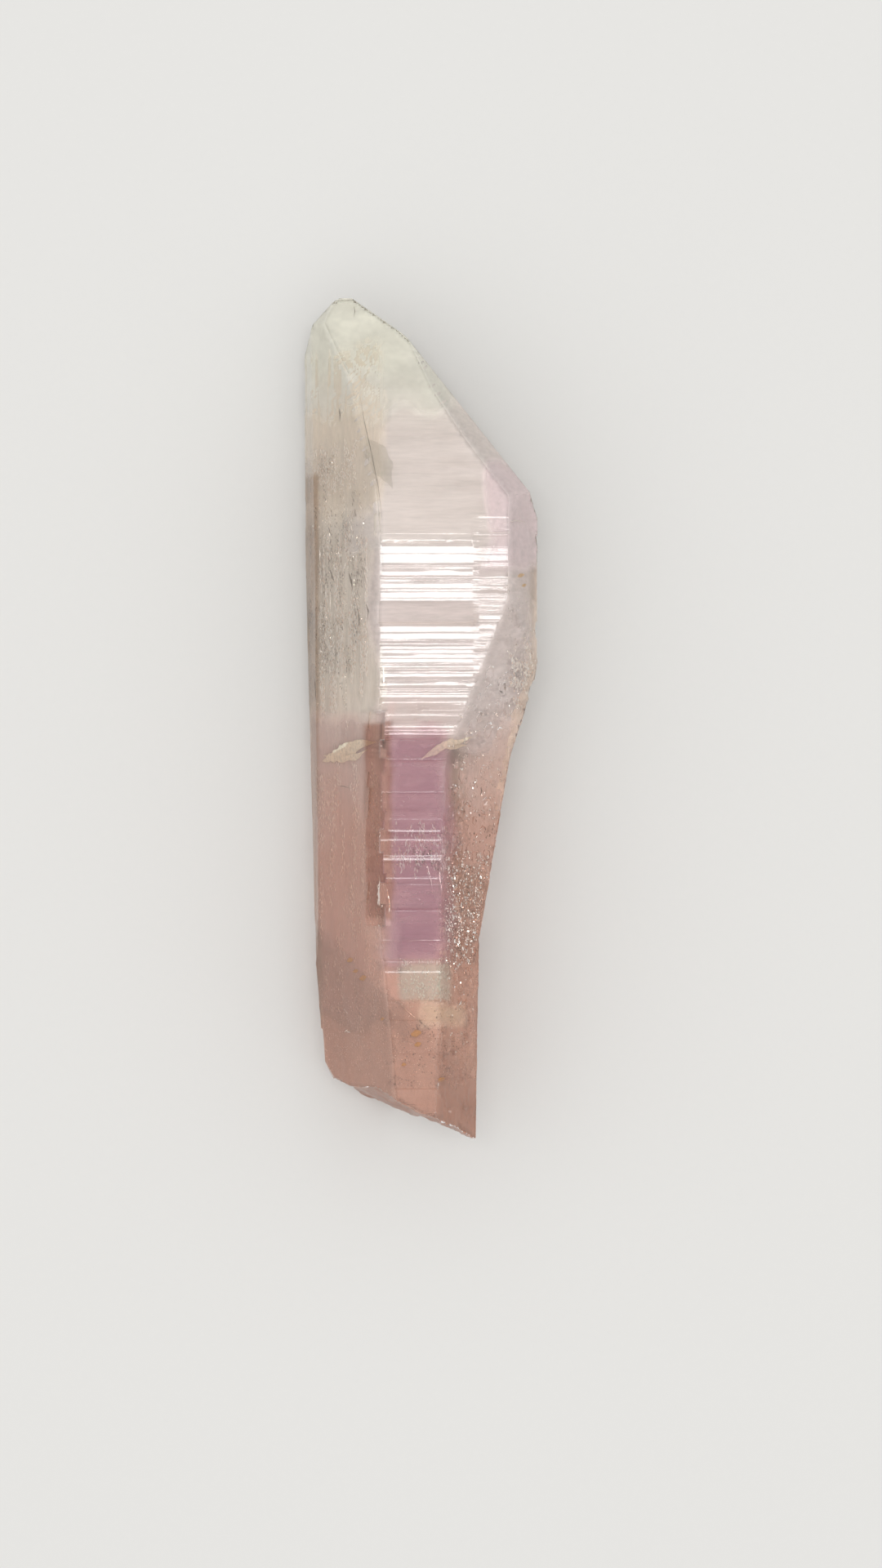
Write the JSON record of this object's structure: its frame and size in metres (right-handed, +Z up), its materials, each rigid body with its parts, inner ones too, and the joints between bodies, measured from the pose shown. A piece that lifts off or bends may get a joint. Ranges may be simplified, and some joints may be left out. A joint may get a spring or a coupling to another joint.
{
  "type": "smoky lemurian quartz crystal",
  "caption": "Single natural quartz point with a striated ladder face, an etched flank, a slanting tip and a broken root, lying on its flat back face.",
  "frame": {"origin": "middle of the crystal's box, on the surface it lies on", "axes": "+Y along the crystal's long axis towards the tip, +Z up out of the ladder face, +X towards the etched flank"},
  "size_m": [0.0348, 0.1254, 0.028],
  "materials": {
    "smoky_quartz": "clear to hazy smoky quartz: glossy growth faces, satin lower body, etched right flank"
  },
  "bodies": {
    "root": {"quartz_crystal": "smoky_quartz"}
  },
  "joints": []
}
